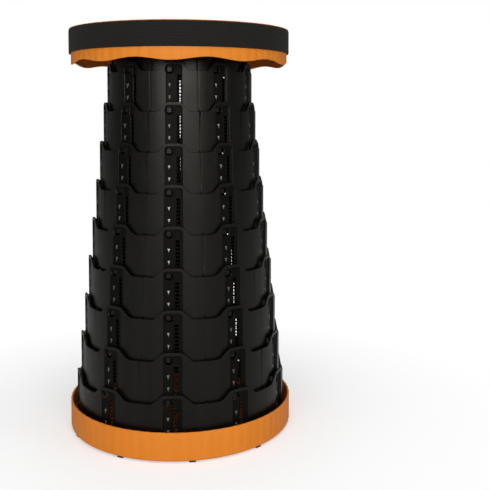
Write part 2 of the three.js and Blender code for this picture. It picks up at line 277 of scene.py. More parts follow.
# Plates cut from a flat plan with steps of different depth

def plan_triangles(loops, lines):
    """Triangles that follow every loop and line of a flat plan."""
    points = []
    edges = []
    for loop in loops:
        first = len(points)
        points.extend(loop)
        edges.extend((first + i, first + (i + 1) % len(loop)) for i in range(len(loop)))
    for line in lines:
        first = len(points)
        points.extend(line)
        edges.append((first, first + 1))
    result = delaunay_2d_cdt([Vector(p) for p in points], edges, [], 0, SAME_PLACE)
    return result[0], result[2]


def plan_level(centre, outline, holes, recesses):
    """The level of a plate at a point, or None outside it and in its holes."""
    if not inside(centre, outline) or any(inside(centre, hole) for hole in holes):
        return None
    level = 0
    for loop, depth in recesses:
        if inside(centre, loop):
            level = depth
    return level


def stepped_plate(shape, outline, holes, recesses, lines, back, place):
    """Builds a plate from a plan. The outline is solid, holes go through, and each recess is a pair
    of outline and level. The back of the plate is at the level back. place(u, v, level) bends it.
    Recessed faces take the object's second material."""
    loops = [outline, *holes, *[loop for loop, _ in recesses]]
    flat, triangles = plan_triangles(loops, lines)
    level_of = []
    levels_at = {}
    for triangle in triangles:
        centre = sum((flat[i] for i in triangle), Vector((0, 0))) / len(triangle)
        level = plan_level(centre, outline, holes, recesses)
        level_of.append(level)
        if level is not None:
            for i in triangle:
                levels_at.setdefault(i, {back}).add(level)
    made = {}

    def corner(i, level):
        if (i, level) not in made:
            made[i, level] = shape.verts.new(place(flat[i][0], flat[i][1], level))
        return made[i, level]

    def column(i, high, low):
        between = sorted((v for v in levels_at[i] if low < v < high), reverse=True)
        return [corner(i, v) for v in (high, *between, low)]

    neighbour = {}
    for number, triangle in enumerate(triangles):
        for k in range(len(triangle)):
            neighbour[triangle[k], triangle[(k + 1) % len(triangle)]] = number
    for number, triangle in enumerate(triangles):
        level = level_of[number]
        if level is None:
            continue
        face = shape.faces.new([corner(i, level) for i in triangle])
        face.material_index = int(level < 0)
        shape.faces.new([corner(i, back) for i in reversed(triangle)])
        for k in range(len(triangle)):
            i, j = triangle[k], triangle[(k + 1) % len(triangle)]
            other = neighbour.get((j, i))
            low = level_of[other] if other is not None else None
            low = back if low is None else low
            if low < level:
                shape.faces.new(column(i, level, low) + list(reversed(column(j, level, low))))


# Sections
# Each column has a flat plan with u to the right and v upwards, as seen from outside. ACROSS is
# measured from the column's middle line and LEVEL outwards from the outer face. TOP, FOOT and DROP
# are measured downwards from the crest, for a stud from the crest of the next larger section, and
# for the seat's slots from the foot of the flange.

PANEL_STEPS = 6
VALLEY_DEPTH = 9.9
VALLEY_ROUNDING = 3.4
CREST_ROUNDING = 4
CREST_SNAP = 0.3
GUIDE_ACROSS = -4.8
STRIP_DEPTH = 0.9
STRIP_TOP = 3.2
STRIP_SPARE = 0.9
STRIP_HALF_LIMIT = 9.9
STRIP_ROUNDING = 3.5
POCKET_HALF = 3.9
POCKET_TOP = 4.9
POCKET_FOOT = 12.6
POCKET_ROUNDING = 3.8
POCKET_RIM = 0.8
POCKET_RIM_LEVEL = -1.5
HOOD_HALF = 3.5
HOOD_TOP = 4.6
HOOD_FOOT = 13.6
HOOD_LEVEL = -1.6
HOOD_LEFT_ROUNDING = 1
HOOD_RIGHT_ROUNDING = 6.5
SLOT_TOP = 14.6
SLOT_FOOT_RISE = 5
SLOT_LEVEL = -2
SEAT_SLOT_DROP = 8
# After the section with this index, the slots become wider and move towards the column's middle.
SLOT_SHIFT_FROM = 3
SLOT_ACROSS = 5.5
LOW_SLOT_ACROSS = 2.8
SLOT_HALF = 2.3
LOW_SLOT_HALF = 3.2
OPENING_HALF = 1.6
LOW_OPENING_HALF = 2.1
RUNG_PITCH = 4
RUNG_HEIGHT = 1.05
NOTCH_HALF = 0.9
NOTCH_RISE = 3.4
NOTCH_LEVEL = -1.4
GROOVE_HALF = 0.8
GROOVE_DEPTH = 0.12
WEDGE_DROPS = (25.4, 38.1)
WEDGE_HALF = 1.6
WEDGE_RISE = 0.85
# Heights of a wedge's upper edge, its highest point and its lower tip
WEDGE_HEAD = 2.3
WEDGE_APEX = -2.1
WEDGE_TIP = -2.9
STUD_HALF = 2.5
STUD_HEIGHT = 5.2
STUD_DROP = 8.5
STUD_REACH = 1.9
STUD_ROUNDING = 1.6
LIP_HALF = 3.5
LIP_DROP = 5.6
LIP_THICKNESS = 2.2
LIP_REACH = 1.9
FLANGE_STEPS = 120
# Number of the shiny material in a section's list. Its light grey colour is a painted highlight, the
# glint on the wedges.
PAINTED_GLINT_INDEX = 2


def section_radius(index):
    return SMALLEST_RADIUS + index * RADIAL_STEP


def column_turns(shift=0):
    return [FIRST_COLUMN_TURN + shift + k * COLUMN_PITCH for k in range(COLUMN_COUNT)]


def column_angle(radius):
    """Half the angle that a flat column takes up."""
    return asin(COLUMN_HALF_WIDTH / radius)


def half_sector(radius):
    """Width of half a column with half a panel."""
    return COLUMN_HALF_WIDTH + radius * (COLUMN_PITCH / 2 - column_angle(radius))


def across_at(radius, angle):
    """How far from the column's middle line an angle lies on the plan."""
    flat_angle = column_angle(radius)
    if angle <= flat_angle:
        return radius * cos(flat_angle) * tan(angle)
    return COLUMN_HALF_WIDTH + radius * (angle - flat_angle)


def bent(radius, turn):
    """Bends a flat plan round one column and half a panel on each side, with a shallow groove where
    two panels meet."""
    flat_angle = column_angle(radius)
    flat_out = radius * cos(flat_angle)
    half = half_sector(radius)
    turn_point = turned_by(turn)

    def place(u, v, level):
        if level == 0:
            level -= GROOVE_DEPTH * max(0, 1 - (half - abs(u)) / GROOVE_HALF)
        if abs(u) <= COLUMN_HALF_WIDTH:
            x, y = -u, flat_out
        else:
            angle = flat_angle + (abs(u) - COLUMN_HALF_WIDTH) / radius
            x, y = -copysign(radius * sin(angle), u), radius * cos(angle)
        share = 1 + level / radius
        return turn_point(x * share, y * share, v)

    return place


def panel_lines(radius, top, foot):
    """Upright lines along which the plan bends."""
    half = half_sector(radius)
    lines = []
    across = [mixed(COLUMN_HALF_WIDTH, half, i / PANEL_STEPS) for i in range(PANEL_STEPS)]
    for u in (*across, half - GROOVE_HALF):
        lines.extend([((u, foot), (u, top)), ((-u, foot), (-u, top))])
    return lines


def crested_outline(radius, top, foot):
    half = half_sector(radius)
    crest = across_at(radius, CREST_SPAN / 2)
    if abs(crest - COLUMN_HALF_WIDTH) < CREST_SNAP:
        crest = COLUMN_HALF_WIDTH
    valley = across_at(radius, CREST_SPAN / 2 + SLOPE_SPAN)
    low = top - VALLEY_DEPTH
    return rounded([
        (-half, foot, 0),
        (half, foot, 0),
        (half, low, 0),
        (valley, low, VALLEY_ROUNDING),
        (crest, top, CREST_ROUNDING),
        (-crest, top, CREST_ROUNDING),
        (-valley, low, VALLEY_ROUNDING),
        (-half, low, 0),
    ])


def seam_notches(radius, foot):
    """Half a small V at the foot on each side, where two panels meet."""
    half = half_sector(radius)
    right = [(half - NOTCH_HALF, foot), (half, foot), (half, foot + NOTCH_RISE)]
    left = [(-half, foot + NOTCH_RISE), (-half, foot), (-half + NOTCH_HALF, foot)]
    return [(right, NOTCH_LEVEL), (left, NOTCH_LEVEL)]


def strip_half(radius):
    return min(STRIP_HALF_LIMIT, across_at(radius, CREST_SPAN / 2) + STRIP_SPARE)


def slot_share(radius):
    """How far a section is on the way from the small sections' slots to the largest one's."""
    first = section_radius(SLOT_SHIFT_FROM)
    return max(0, (radius - first) / (section_radius(SECTION_COUNT - 1) - first))


def slot_middle(radius):
    return mixed(SLOT_ACROSS, LOW_SLOT_ACROSS, slot_share(radius))


def slot_recess(radius, top, foot):
    """The recess of the slot, which leaves thin rungs at the back of the wall."""
    half = mixed(SLOT_HALF, LOW_SLOT_HALF, slot_share(radius))
    return rectangle(slot_middle(radius), half, foot + SLOT_FOOT_RISE, top), SLOT_LEVEL


def slot_openings(radius, top, foot):
    """The slot is crossed by thin rungs, so it is a row of short openings."""
    half = mixed(OPENING_HALF, LOW_OPENING_HALF, slot_share(radius))
    openings = []
    while top - RUNG_PITCH > foot + SLOT_FOOT_RISE:
        low = top - RUNG_PITCH + RUNG_HEIGHT
        openings.append(rectangle(slot_middle(radius), half, low, top))
        top -= RUNG_PITCH
    return openings


def pocket(top, rim=0):
    """The window in which the next section's stud shows, or the outline of its rim."""
    low, high = top - POCKET_FOOT - rim, top - POCKET_TOP + rim
    return rectangle(GUIDE_ACROSS, POCKET_HALF + rim, low, high, POCKET_ROUNDING + rim)


def column_recesses(radius, top, foot):
    half = strip_half(radius)
    strip = arched(-half, half, foot, top - STRIP_TOP, STRIP_ROUNDING, STRIP_ROUNDING)
    middle = slot_middle(radius)
    right = min(middle + HOOD_HALF, half - STRIP_SPARE)
    hood = arched(middle - HOOD_HALF, right, top - HOOD_FOOT, top - HOOD_TOP,
                  HOOD_LEFT_ROUNDING, HOOD_RIGHT_ROUNDING)
    return [
        (strip, -STRIP_DEPTH),
        (hood, HOOD_LEVEL),
        (pocket(top, POCKET_RIM), POCKET_RIM_LEVEL),
        slot_recess(radius, top - SLOT_TOP, foot),
    ]


def wedge(shape, centre, place):
    """A small ramp on the column. It starts wide and flush at the top and rises to a point below."""
    flat = [(-WEDGE_HALF, WEDGE_HEAD), (WEDGE_HALF, WEDGE_HEAD), (0, WEDGE_TIP)]
    points = []
    for level in (-STRIP_DEPTH - SINK, -STRIP_DEPTH):
        points += [place(GUIDE_ACROSS + u, centre + v, level) for u, v in flat]
    points.append(place(GUIDE_ACROSS, centre + WEDGE_APEX, -STRIP_DEPTH + WEDGE_RISE))
    faces = [(0, 1, 2), (3, 4, 6), (4, 5, 6), (5, 3, 6), (0, 1, 4, 3), (1, 2, 5, 4), (2, 0, 3, 5)]
    first = len(shape.faces)
    add_faces(shape, points, faces)
    shape.faces.ensure_lookup_table()
    for face in shape.faces[first:]:
        # The wedge takes the shiny material whose light grey colour is a painted highlight.
        face.material_index = PAINTED_GLINT_INDEX


def stud(shape, foot, place):
    """The stud that guides a section's foot and shows in the window of the next larger section."""
    low = foot + SECTION_OVERLAP - STUD_DROP - STUD_HEIGHT / 2
    outline = rectangle(GUIDE_ACROSS, STUD_HALF, low, low + STUD_HEIGHT, STUD_ROUNDING)
    extruded(shape, outline, -STRIP_DEPTH - SINK, STUD_REACH, place)


def lip(shape, top, place):
    """The lip inside a section's crest, which stops the next smaller section's stud."""
    low = top - LIP_DROP
    outline = rectangle(GUIDE_ACROSS, LIP_HALF, low, low + LIP_THICKNESS)
    extruded(shape, outline, -SECTION_WALL - LIP_REACH, -SECTION_WALL + SINK, place)


def dissolve_flat(shape):
    """Merges coplanar triangles. Faces with many sides are split again, because they shade badly."""
    merge_corners(shape)
    bmesh.ops.dissolve_limit(shape, angle_limit=FLAT_ANGLE, verts=shape.verts, edges=shape.edges,
                             delimit={"MATERIAL"})
    many_sided = [face for face in shape.faces if len(face.verts) > 4]
    bmesh.ops.triangulate(shape, faces=many_sided)


def bent_section(name, radius, plan, details, materials):
    """A section whose columns all follow one plan: outline, holes, recesses and bend lines."""
    walls = bmesh.new()
    for turn in column_turns():
        stepped_plate(walls, *plan, -SECTION_WALL, bent(radius, turn))
    dissolve_flat(walls)
    join_shapes(walls, details)
    return moulding(walls, name, "black_plastic", *materials, edge=EDGE_WIDTH)


def height_range(node):
    """The lowest and the highest point of a node."""
    low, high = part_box(node)
    return low[2] / MILLIMETRE, high[2] / MILLIMETRE


def sliding_section(index, materials):
    name = f"telescopic_section_{index + 1:02d}"
    foot, top = height_range(name)
    radius = section_radius(index)
    outline = crested_outline(radius, top, foot)
    holes = [pocket(top), *slot_openings(radius, top - SLOT_TOP, foot)]
    recesses = column_recesses(radius, top, foot) + seam_notches(radius, foot)
    plan = (outline, holes, recesses, panel_lines(radius, top, foot))
    details = bmesh.new()
    for turn in column_turns():
        place = bent(radius, turn)
        for drop in WEDGE_DROPS:
            wedge(details, top - drop, place)
        stud(details, foot, place)
        lip(details, top, place)
    return bent_section(name, radius, plan, details, materials)


def seat_section(materials):
    """The smallest section, with a flange that is screwed to the seat's lid."""
    name = "telescopic_section_01"
    foot, top = height_range(name)
    radius = section_radius(0)
    flange_foot = FLANGE_TOP - FLANGE_THICKNESS
    slot_top = flange_foot - SEAT_SLOT_DROP
    outline = rectangle(0, half_sector(radius), foot, top)
    holes = slot_openings(radius, slot_top, foot)
    strip = rectangle(0, strip_half(radius), foot, slot_top + STRIP_TOP)
    recesses = [(strip, -STRIP_DEPTH), slot_recess(radius, slot_top, foot)]
    plan = (outline, holes, recesses, panel_lines(radius, top, foot))
    details = bmesh.new()
    for turn in column_turns():
        stud(details, foot, bent(radius, turn))
    inner = radius - SECTION_WALL
    flange = [
        (FLANGE_BORE, flange_foot),
        (inner, flange_foot),
        (inner, FLANGE_TOP),
        (FLANGE_BORE, FLANGE_TOP),
    ]
    turned(details, flange, FLANGE_STEPS)
    return bent_section(name, radius, plan, details, materials)


# Seat

SEAT_STEPS = 560
SKIRT_RADIUS = 122.7
SKIRT_WALL = 2.4
SKIRT_FOOT = 411.6
SKIRT_WAVE = 1.8
SKIRT_FLUTE_DEPTH = 0.55
SKIRT_ROUNDING = 0.7
WAVE_FADE = 9.7
RIM_RADIUS = 124.6
RIM_THICKNESS = 0.7
RIM_FLUTE_DEPTH = 0.5
# Points of the rounded rim: how far inside its radius, and how far below the top
RIM_POINTS = [(0.2, RIM_THICKNESS), (0, 0.55), (0.25, 0.15), (0.8, 0)]
COLLAR_INNER = 60.3
COLLAR_WALL = 2.2
COLLAR_CHAMFER = 0.5
LEDGE_TOP = 441.4
LEDGE_FOOT = 439
LEDGE_BORE = 50.3
LID_RIB_WIDTH = 2
LID_RIB_DEPTH = 8
LID_RIB_ROOM = 0.5
SEAT_SCREW_COUNT = 5
SEAT_SCREW_CIRCLE = 69
BOSS_RADIUS = 4.2
BOSS_GAP = 0.3
BOSS_SINK = 1
BOSS_STEPS = 32
PILOT_RADIUS = 1.8


def seat_lid(material):
    """The seat's plate with its fluted rim, wavy skirt and the collar that holds the cap."""
    def form(radius, height, angle):
        if radius > SKIRT_RADIUS:
            return radius - fluted(angle, RIM_FLUTE_DEPTH), height
        if radius > SKIRT_RADIUS - SKIRT_WALL / 2 and height <= BAND_FOOT:
            radius -= fluted(angle, SKIRT_FLUTE_DEPTH)
        if height < BAND_FOOT:
            fade = min(1, (BAND_FOOT - height) / WAVE_FADE)
            turn = angle - pi / 2 - FIRST_COLUMN_TURN
            height -= fade * SKIRT_WAVE * cos(COLUMN_COUNT * turn)
        return radius, height

    inner = SKIRT_RADIUS - SKIRT_WALL
    eased = SKIRT_ROUNDING * ROUNDING_MIDDLE
    profile = [
        (LEDGE_BORE, LEDGE_FOOT),
        (COLLAR_INNER + COLLAR_WALL, LEDGE_FOOT),
        (COLLAR_INNER + COLLAR_WALL, PLATE_FOOT),
        (inner, PLATE_FOOT),
        (inner, BAND_FOOT),
        (inner, SKIRT_FOOT + SKIRT_ROUNDING),
        (inner + SKIRT_ROUNDING, SKIRT_FOOT),
        (SKIRT_RADIUS - SKIRT_ROUNDING, SKIRT_FOOT),
        (SKIRT_RADIUS - eased, SKIRT_FOOT + eased),
        (SKIRT_RADIUS, SKIRT_FOOT + SKIRT_ROUNDING),
        (SKIRT_RADIUS, BAND_FOOT),
        (SKIRT_RADIUS, TOTAL_HEIGHT - RIM_THICKNESS),
        *[(RIM_RADIUS - inset, TOTAL_HEIGHT - drop) for inset, drop in RIM_POINTS],
        (COLLAR_INNER + COLLAR_CHAMFER, TOTAL_HEIGHT),
        (COLLAR_INNER, TOTAL_HEIGHT - COLLAR_CHAMFER),
        (COLLAR_INNER, LEDGE_TOP),
        (LEDGE_BORE, LEDGE_TOP),
    ]
    shape = bmesh.new()
    turned(shape, profile, SEAT_STEPS, form)
    for turn in column_turns(COLUMN_PITCH / 2):
        lid_rib(shape, turn)
    for place in circle(SEAT_SCREW_CIRCLE, SEAT_SCREW_COUNT, start=FIRST_COLUMN_TURN):
        boss(shape, place, BOSS_RADIUS, FLANGE_TOP + BOSS_GAP, PLATE_FOOT + BOSS_SINK)
    return moulding(shape, "seat_lid", "orange_plastic", material)


def lid_rib(shape, turn):
    inner = SMALLEST_RADIUS + LID_RIB_ROOM
    outer = SKIRT_RADIUS - SKIRT_WALL + SINK
    outline = rectangle(0, LID_RIB_WIDTH / 2, inner, outer)
    extruded(shape, outline, PLATE_FOOT - LID_RIB_DEPTH, PLATE_FOOT + SINK, turned_by(turn))


def turned_at(shape, place, profile, steps):
    """Carries a profile once round an upright axis at a place."""
    corners = turned(shape, profile, steps)
    bmesh.ops.translate(shape, verts=corners, vec=(place[0], place[1], 0))


def boss(shape, place, radius, foot, top):
    """A hollow post that a screw is driven into."""
    profile = [(PILOT_RADIUS, foot), (radius, foot), (radius, top), (PILOT_RADIUS, top)]
    turned_at(shape, place, profile, BOSS_STEPS)


# Cap in the middle of the seat

CAP_RADIUS = 60
CAP_PLATE = 2.6
CAP_WALL = 2.2
CAP_DEPTH = 8.3
CAP_ROUNDING = 0.6
CAP_STEPS = 180
CAP_TURN = STRAP_TURN + radians(11)
CAP_SCREW_COUNT = 4
CAP_SCREW_CIRCLE = 55
CAP_BOSS_RADIUS = 3.8
FINGER_COUNT = 2
FINGER_CIRCLE = 26.5
FINGER_RADIUS = 11.5
FINGER_LIP = 0.9
FINGER_LIP_EASE = 0.35
SLEEVE_WALL = 2
SLEEVE_DEPTH = 24
SLEEVE_STEPS = 72


def seat_cap(material):
    """The round cap with two finger holes, their sleeves, and posts for its screws."""
    top = TOTAL_HEIGHT
    foot = top - CAP_DEPTH
    fingers = circle(FINGER_CIRCLE, FINGER_COUNT, start=CAP_TURN + pi / 2)
    screws = circle(CAP_SCREW_CIRCLE, CAP_SCREW_COUNT, start=CAP_TURN + pi / CAP_SCREW_COUNT)

    def place(x, y, level):
        return (x, y, top + level)

    shape = bmesh.new()
    edge = circle(CAP_RADIUS - CAP_ROUNDING, CAP_STEPS)
    holes = [circle(FINGER_RADIUS + FINGER_LIP, SLEEVE_STEPS, centre) for centre in fingers]
    stepped_plate(shape, edge, holes, [], [], -CAP_PLATE, place)
    eased = CAP_ROUNDING * ROUNDING_MIDDLE
    wall = [
        (CAP_RADIUS - CAP_WALL, foot),
        (CAP_RADIUS, foot),
        (CAP_RADIUS, top - CAP_ROUNDING),
        (CAP_RADIUS - eased, top - eased),
        (CAP_RADIUS - CAP_ROUNDING, top),
        (CAP_RADIUS - CAP_WALL, top - SINK),
    ]
    sleeve = [
        (FINGER_RADIUS, top - SLEEVE_DEPTH),
        (FINGER_RADIUS + SLEEVE_WALL, top - SLEEVE_DEPTH),
        (FINGER_RADIUS + SLEEVE_WALL, top - SINK),
        (FINGER_RADIUS + FINGER_LIP, top),
        (FINGER_RADIUS + FINGER_LIP * FINGER_LIP_EASE, top - FINGER_LIP * ROUNDING_MIDDLE),
        (FINGER_RADIUS, top - FINGER_LIP),
    ]
    details = bmesh.new()
    turned(details, wall, CAP_STEPS)
    for centre in fingers:
        turned_at(details, centre, sleeve, SLEEVE_STEPS)
    for centre in screws:
        boss(details, centre, CAP_BOSS_RADIUS, foot, top - CAP_PLATE + SINK)
    join_shapes(shape, details)
    return moulding(shape, "seat_center_cap", "orange_plastic", material)


# Screws

SCREW_STEPS = 40
HEAD_RADIUS = 3.2
HEAD_HEIGHT = 2.2
HEAD_BORE = 2.3
HEAD_LAP = 0.6
HEAD_ROUNDING = 0.5
HEAD_SIDE_INSET = 0.15
HEAD_BACK_GAP = 0.3
SHANK_RADIUS = 1.5
SHANK_CORE = 0.2
SHANK_SINK = 0.2
THREAD_DEPTH = 0.25
THREAD_PITCH = 1.1
DRIVE_LENGTH = 1.9
DRIVE_HALF = 0.42
DRIVE_DEPTH = 1.1


def cross_outline(arm, half):
    """A cross with four equal arms."""
    corners = [(half, -arm), (half, -half), (arm, -half)]
    outline = []
    for _ in range(4):
        outline += [Vector(corner) for corner in corners]
        corners = [(-y, x) for x, y in corners]
    return outline


def threaded_shank(foot, top):
    """The profile of the shank, with rings for its thread."""
    profile = [(SHANK_CORE, foot)]
    height = foot
    while height + THREAD_PITCH < top:
        profile.append((SHANK_RADIUS - THREAD_DEPTH, height))
        profile.append((SHANK_RADIUS, height + THREAD_PITCH / 2))
        height += THREAD_PITCH
    return profile + [(SHANK_RADIUS - THREAD_DEPTH, height), (SHANK_CORE, top)]


def screw(node, material):
    """A pan-head screw, driven upwards, with a cross in its head."""
    low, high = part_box(node)
    x = (low[0] + high[0]) / 2 / MILLIMETRE
    y = (low[1] + high[1]) / 2 / MILLIMETRE
    foot, top = height_range(node)
    head_top = foot + HEAD_HEIGHT

    def place(u, v, level):
        return (x - u, y + v, foot - level)

    shape = bmesh.new()
    face = circle(HEAD_RADIUS - HEAD_ROUNDING, SCREW_STEPS)
    cross = cross_outline(DRIVE_LENGTH, DRIVE_HALF)
    back = -HEAD_HEIGHT + HEAD_BACK_GAP
    stepped_plate(shape, face, [], [(cross, -DRIVE_DEPTH)], [], back, place)
    head = [
        (HEAD_BORE, foot + HEAD_LAP),
        (HEAD_RADIUS - HEAD_ROUNDING, foot),
        (HEAD_RADIUS - HEAD_SIDE_INSET, foot + HEAD_ROUNDING),
        (HEAD_RADIUS, head_top - HEAD_ROUNDING),
        (HEAD_RADIUS, head_top),
        (HEAD_BORE, head_top),
    ]
    details = bmesh.new()
    turned_at(details, (x, y), head, SCREW_STEPS)
    turned_at(details, (x, y), threaded_shank(head_top - SHANK_SINK, top), SCREW_STEPS)
    join_shapes(shape, details)
    return stand_in(finished(shape, f"{node}_threaded", material), node)


# Webbing

RIB_COUNT = 8
RIB_RISE = 0.28
RIB_FULLNESS = 0.6
RIB_STEPS = 6
SELVEDGE = 1.1
SELVEDGE_INSET = 0.1
SELVEDGE_TAPER = 0.15
WEBBING_SMOOTH_ANGLE = radians(60)
LENGTH_STEP = 3
OVERLAP_LENGTH = 61
OVERLAP_TURN = radians(86)
TAB_TURN = radians(-45)
TAB_FOOT_LENGTH = 12
TAB_FREE_LENGTH = 14
TAB_LIFT = 7
TAB_STEPS = 8
HANDLE_REACH = 74
HANDLE_SPREAD = radians(16)
HANDLE_FOOT_LENGTH = 12
HANDLE_ROOT_BEND = 6
HANDLE_TOP_BEND = 26
HANDLE_CROWN_SHARE = 4 / 3
HANDLE_BEND_STEPS = 8
HANDLE_LEG_STEPS = 12
HANDLE_CROWN_STEPS = 40
STITCH_LENGTH = 2.2
STITCH_WIDTH = 0.5
STITCH_GAP = 1.3
STITCH_ARCH = 0.5
STITCH_SINK = 0.2
STITCH_TIP = 0.55
STITCH_STEPS = 6
STITCH_SIDES = 6
SEAM_INSET = 3
SEAM_SPACING = 3


def rib_profile(thickness):
    """The ribbed section of the webbing: (offset from the middle line, height) round the strip."""
    half = thickness / 2
    steps = RIB_COUNT * RIB_STEPS
    side = []
    for i in range(steps + 1):
        share = i / steps
        height = BAND_FOOT + SELVEDGE / 2 + (BAND_WIDTH - SELVEDGE) * share
        rise = RIB_RISE * abs(sin(pi * RIB_COUNT * share)) ** RIB_FULLNESS
        side.append((half - RIB_RISE + rise, height))
    other = [(-offset, height) for offset, height in reversed(side)]
    edge = half - RIB_RISE - SELVEDGE_TAPER
    low = BAND_FOOT + SELVEDGE_INSET
    high = BAND_FOOT + BAND_WIDTH - SELVEDGE_INSET
    return side + [(edge, high), (-edge, high)] + other + [(-edge, low), (edge, low)]


def across_line(line, i, closed):
    """The sideways direction of a flat line at one of its points."""
    before = line[i - 1] if closed or i else line[i]
    after = line[(i + 1) % len(line)] if closed or i < len(line) - 1 else line[i]
    along = (after - before).normalized()
    return Vector((along.y, -along.x))


def woven_strip(name, line, thickness, material, closed=False):
    """A strip of webbing along a flat middle line, with its length and height kept as its UV map."""
    profile = rib_profile(thickness)
    count, size = len(line), len(profile)
    shape = bmesh.new()
    rings = []
    for i, point in enumerate(line):
        across = across_line(line, i, closed)
        rings.append([shape.verts.new((*(point + across * offset), z)) for offset, z in profile])
    uv = shape.loops.layers.uv.new("weave")
    start = 0
    for i in range(count if closed else count - 1):
        here, there = rings[i], rings[(i + 1) % count]
        end = start + (line[(i + 1) % count] - line[i]).length
        for k in range(size):
            n = (k + 1) % size
            face = shape.faces.new((here[k], there[k], there[n], here[n]))
            spots = ((start, k), (end, k), (end, n), (start, n))
            for loop, (length, place) in zip(face.loops, spots):
                loop[uv].uv = (length * MILLIMETRE, profile[place][1] * MILLIMETRE)
        start = end
    if not closed:
        shape.faces.new(list(reversed(rings[0])))
        shape.faces.new(rings[-1])
    return finished(shape, name, material, smooth=WEBBING_SMOOTH_ANGLE)


def length_of(line):
    return sum((b - a).length for a, b in zip(line, line[1:]))


def hugging(radius, start, end):
    """A flat line round the seat, from one angle to another."""
    steps = max(2, round(abs(end - start) * radius / LENGTH_STEP))
    return [polar(radius, mixed(start, end, i / steps)) for i in range(steps + 1)]


def along_line(line, distance):
    """The point and the direction at a distance along a line."""
    for a, b in zip(line, line[1:]):
        step = (b - a).length
        if distance <= step:
            return mixed(a, b, distance / step), (b - a).normalized()
        distance -= step
    return line[-1], (line[-1] - line[-2]).normalized()


def stitch(shape, centre, along, out):
    """One short raised thread, lying on the webbing."""
    up = along.cross(out)
    points = []
    for i in range(STITCH_STEPS + 1):
        share = i / STITCH_STEPS
        swell = sin(pi * share)
        rise = (swell * STITCH_ARCH - STITCH_SINK) * STITCH_WIDTH
        middle = centre + along * (share - 0.5) * STITCH_LENGTH + out * rise
        half = STITCH_WIDTH / 2 * mixed(STITCH_TIP, 1, swell)
        for k in range(STITCH_SIDES):
            angle = 2 * pi * k / STITCH_SIDES
            points.append(middle + (up * cos(angle) + out * sin(angle)) * half)
    last = STITCH_STEPS * STITCH_SIDES
    faces = [tuple(range(STITCH_SIDES)), tuple(reversed(range(last, last + STITCH_SIDES)))]
    for i in range(STITCH_STEPS):
        here, there = i * STITCH_SIDES, (i + 1) * STITCH_SIDES
        for k in range(STITCH_SIDES):
            n = (k + 1) % STITCH_SIDES
            faces.append((here + k, here + n, there + n, there + k))
    add_faces(shape, points, faces)


def seam_rows(name, line, seams, material):
    """Upright rows of stitches across a strip, at the distances given along it."""
    shape = bmesh.new()
    pitch = STITCH_LENGTH + STITCH_GAP
    for distance in seams:
        point, along = along_line(line, distance)
        out = Vector((along.y, -along.x, 0))
        if out.dot(Vector((point.x, point.y, 0))) < 0:
            out = -out
        height = BAND_FOOT + pitch
        while height < BAND_FOOT + BAND_WIDTH - pitch / 2:
            place = Vector((point.x, point.y, height)) + out * (WEBBING_THICKNESS / 2)
            stitch(shape, place, Vector((0, 0, 1)), out)
            height += pitch
    obj = finished(shape, name, material)
    return obj


def woven_piece(node, line, thickness, material, closed=False):
    strip = woven_strip(f"{node}_webbing", line, thickness, material, closed)
    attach(stand_in(strip, node), "seat")
    return strip


def stitched_strip(node, line, material, thread, seams):
    """A short strip of webbing sewn on at the distances given along it."""
    piece = woven_piece(node, line, WEBBING_THICKNESS, material)
    rows = seam_rows(f"{node}_webbing_stitches", line, seams, thread)
    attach(rows, "seat")
    length_of(line) * MILLIMETRE


def strap_band(material):
    circle_line = hugging((BAND_INNER + BAND_OUTER) / 2, 0, 2 * pi)
    band = woven_piece("strap_band", circle_line[:-1], BAND_OUTER - BAND_INNER, material, closed=True)
    length_of(circle_line) * MILLIMETRE


def outer_radius():
    """Radius of the middle line of webbing that lies on the band."""
    return BAND_OUTER + WEBBING_GAP + WEBBING_THICKNESS / 2


def strap_overlap(material, thread):
    half = OVERLAP_LENGTH / 2 / outer_radius()
    centre = STRAP_BACK + OVERLAP_TURN
    line = hugging(outer_radius(), centre - half, centre + half)
    total = length_of(line)
    seams = (SEAM_INSET, total / 2, total - SEAM_INSET)
    stitched_strip("strap_overlap", line, material, thread, seams)


def strap_end_tab(material, thread):
    """The band's loose end, sewn down at its root and lifted at its tip."""
    radius = outer_radius()
    root = STRAP_BACK + TAB_TURN
    foot_end = root - TAB_FOOT_LENGTH / radius
    line = hugging(radius, root, foot_end)
    for i in range(1, TAB_STEPS + 1):
        share = i / TAB_STEPS
        angle = foot_end - share * TAB_FREE_LENGTH / radius
        line.append(polar(radius + TAB_LIFT * share ** 2, angle))
    seams = (SEAM_INSET, TAB_FOOT_LENGTH / 2)
    stitched_strip("strap_end_tab", line, material, thread, seams)


def bezier(points, steps):
    """Points on a curve pulled by its inner points. The first point is left out."""
    result = []
    for i in range(1, steps + 1):
        row = points
        while len(row) > 1:
            row = [mixed(a, b, i / steps) for a, b in zip(row, row[1:])]
        result.append(row[0])
    return result


def handle_leg(turn, sense):
    """The line of one leg from its sewn foot, its end, and the point that pulls the crown."""
    radius = outer_radius()
    root = STRAP_BACK + turn
    along = polar(1, STRAP_BACK + turn / 2)
    corner = polar(radius, root)
    bend_start = root + sense * HANDLE_ROOT_BEND / radius
    bend_end = corner + along * HANDLE_ROOT_BEND
    points = hugging(radius, root + sense * HANDLE_FOOT_LENGTH / radius, bend_start)
    points += bezier([polar(radius, bend_start), corner, bend_end], HANDLE_BEND_STEPS)
    crown = corner + along * (HANDLE_REACH - HANDLE_TOP_BEND)
    steps = HANDLE_LEG_STEPS
    points += [mixed(bend_end, crown, i / steps) for i in range(1, steps)]
    return points, crown, crown + along * HANDLE_TOP_BEND * HANDLE_CROWN_SHARE


def carry_handle(material, thread):
    left, left_crown, left_pull = handle_leg(HANDLE_SPREAD, 1)
    right, right_crown, right_pull = handle_leg(-HANDLE_SPREAD, -1)
    crown = bezier([left_crown, left_pull, right_pull, right_crown], HANDLE_CROWN_STEPS)
    line = left + [left_crown] + crown + list(reversed(right))
    total = length_of(line)
    ends = (SEAM_INSET, SEAM_INSET + SEAM_SPACING)
    seams = [inset for end in ends for inset in (end, total - end)]
    stitched_strip("carry_handle", line, material, thread, seams)


# Base

